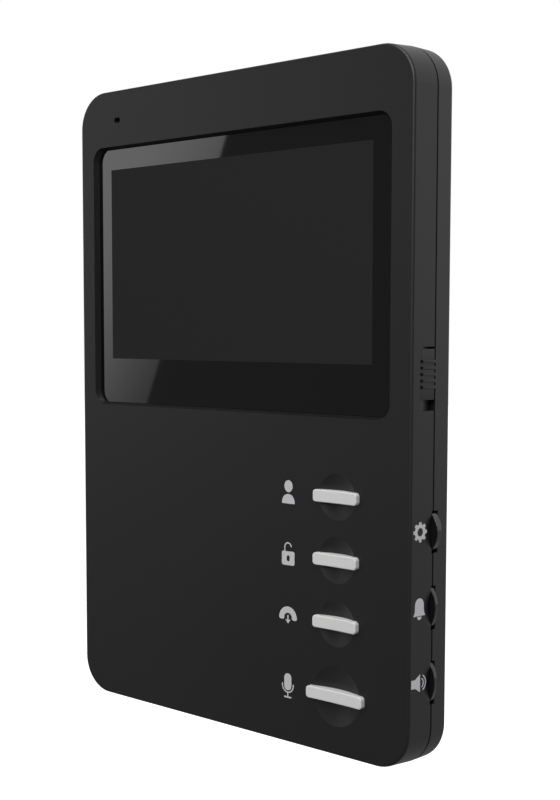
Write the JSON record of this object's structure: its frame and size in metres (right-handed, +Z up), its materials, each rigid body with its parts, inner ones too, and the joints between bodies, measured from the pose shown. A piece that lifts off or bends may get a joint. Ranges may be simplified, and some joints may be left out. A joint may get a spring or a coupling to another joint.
{
  "type": "video intercom monitor",
  "caption": "Slim wall-hung video intercom monitor: recessed screen, column of bar keys, side slider, menu wheel and volume wheels, on a steel bracket.",
  "frame": {"origin": "on the wall plane, at the centre of the bracket's four wall screws, which is the centre of the body's outline", "axes": "+Z up, the screen faces -Y, +Y into the wall, +X to the viewer's right, where the side controls are"},
  "size_m": [0.1215, 0.0162, 0.173],
  "materials": {
    "case_plastic": "fine satin-matt moulded black ABS",
    "bracket_steel": "zinc-plated pressed steel",
    "window_acrylic": "clear glossy acrylic, printed black border on its back",
    "tape": "double-sided foam tape",
    "panel_metal": "thin pressed tray",
    "panel_glass": "display cell, switched off",
    "light_guide": "white light guide",
    "flex_film": "amber polyimide",
    "key_plastic": "light grey satin plastic",
    "switch_plunger": "white switch plunger",
    "component_black": "black moulded component",
    "control_plastic": "black moulded control",
    "plated_steel": "tin-plated steel",
    "screw_steel": "dark zinc screws",
    "board_green": "solder mask on glass-epoxy board",
    "socket_nylon": "natural nylon connector",
    "pin_brass": "plated contact pins",
    "capacitor_can": "aluminium can",
    "ferrite": "sintered ferrite",
    "soft_rubber": "soft rubber or foam",
    "capsule_metal": "electret capsule can",
    "lead_insulation": "flexible wire insulation",
    "speaker_frame": "black pressed frame",
    "speaker_paper": "treated cone",
    "mesh_cloth": "black dust cloth"
  },
  "bodies": {
    "wall_bracket": {"wall_bracket": "bracket_steel"},
    "monitor": {"board_chips": "component_black", "board_screws": "screw_steel", "cover_screws": "screw_steel", "door_socket": "socket_nylon", "flex_connector": "socket_nylon", "front_cover": "case_plastic", "key_switches": "component_black", "main_board": "board_green", "menu_switch": "component_black", "microphone": "capsule_metal", "microphone_boot": "soft_rubber", "microphone_header": "socket_nylon", "microphone_leads": "lead_insulation", "panel_backlight": "light_guide", "panel_cell": "panel_glass", "panel_flex": "flex_film", "panel_foam_pads": "soft_rubber", "panel_tray": "panel_metal", "power_socket": "socket_nylon", "rear_cover": "case_plastic", "ring_volume_control": "component_black", "screen_window": "window_acrylic", "second_door_socket": "socket_nylon", "slide_switch": "component_black", "socket_pins": "pin_brass", "speaker_cone": "speaker_paper", "speaker_frame": "speaker_frame", "speaker_gasket": "soft_rubber", "speaker_header": "socket_nylon", "speaker_leads": "lead_insulation", "speaker_magnet": "ferrite", "speaker_mesh": "mesh_cloth", "speaker_screws": "screw_steel", "supply_capacitors": "capacitor_can", "supply_inductor": "ferrite", "talk_volume_control": "component_black", "video_shield": "plated_steel", "window_tape": "tape"},
    "view_key": {"view_key": "key_plastic", "view_key_plunger": "switch_plunger"},
    "unlock_key": {"unlock_key": "key_plastic", "unlock_key_plunger": "switch_plunger"},
    "hang_up_key": {"hang_up_key": "key_plastic", "hang_up_key_plunger": "switch_plunger"},
    "talk_key": {"talk_key": "key_plastic", "talk_key_plunger": "switch_plunger"},
    "menu_carrier": {"menu_carrier": "component_black"},
    "menu_wheel": {"menu_wheel": "control_plastic"},
    "ring_volume": {"ring_volume_wheel": "control_plastic", "ring_volume_shaft": "plated_steel"},
    "talk_volume": {"talk_volume_wheel": "control_plastic", "talk_volume_shaft": "plated_steel"},
    "power_slider": {"power_slider": "control_plastic", "slide_switch_lever": "switch_plunger"}
  },
  "joints": [
    {"name": "lift_off", "type": "slide", "parent": "wall_bracket", "child": "monitor", "axis": [0, 0, 1], "range_m": [0, 0.006]},
    {"name": "view_press", "type": "slide", "parent": "monitor", "child": "view_key", "axis": [0, 1, 0], "range_m": [0, 0.0005], "stiffness_N_per_m": 900},
    {"name": "unlock_press", "type": "slide", "parent": "monitor", "child": "unlock_key", "axis": [0, 1, 0], "range_m": [0, 0.0005], "stiffness_N_per_m": 900},
    {"name": "hang_up_press", "type": "slide", "parent": "monitor", "child": "hang_up_key", "axis": [0, 1, 0], "range_m": [0, 0.0005], "stiffness_N_per_m": 900},
    {"name": "talk_press", "type": "slide", "parent": "monitor", "child": "talk_key", "axis": [0, 1, 0], "range_m": [0, 0.0005], "stiffness_N_per_m": 900},
    {"name": "menu_push", "type": "slide", "parent": "monitor", "child": "menu_carrier", "axis": [-1, 0, 0], "range_m": [0, 0.0005], "stiffness_N_per_m": 900},
    {"name": "menu_rock", "type": "hinge", "parent": "menu_carrier", "child": "menu_wheel", "pos_m": [0.0551, -0.0061, -0.0284], "axis": [0, 1, 0], "range_deg": [-15, 15], "stiffness_Nm_per_rad": 0.02},
    {"name": "ring_turn", "type": "hinge", "parent": "monitor", "child": "ring_volume", "pos_m": [0.0529, -0.0064, -0.0467], "axis": [0, 1, 0], "range_deg": [-135, 135]},
    {"name": "talk_turn", "type": "hinge", "parent": "monitor", "child": "talk_volume", "pos_m": [0.0529, -0.0064, -0.065], "axis": [0, 1, 0], "range_deg": [-135, 135]},
    {"name": "power_slide", "type": "slide", "parent": "monitor", "child": "power_slider", "axis": [0, 0, -1], "range_m": [0, 0.0024]}
  ]
}
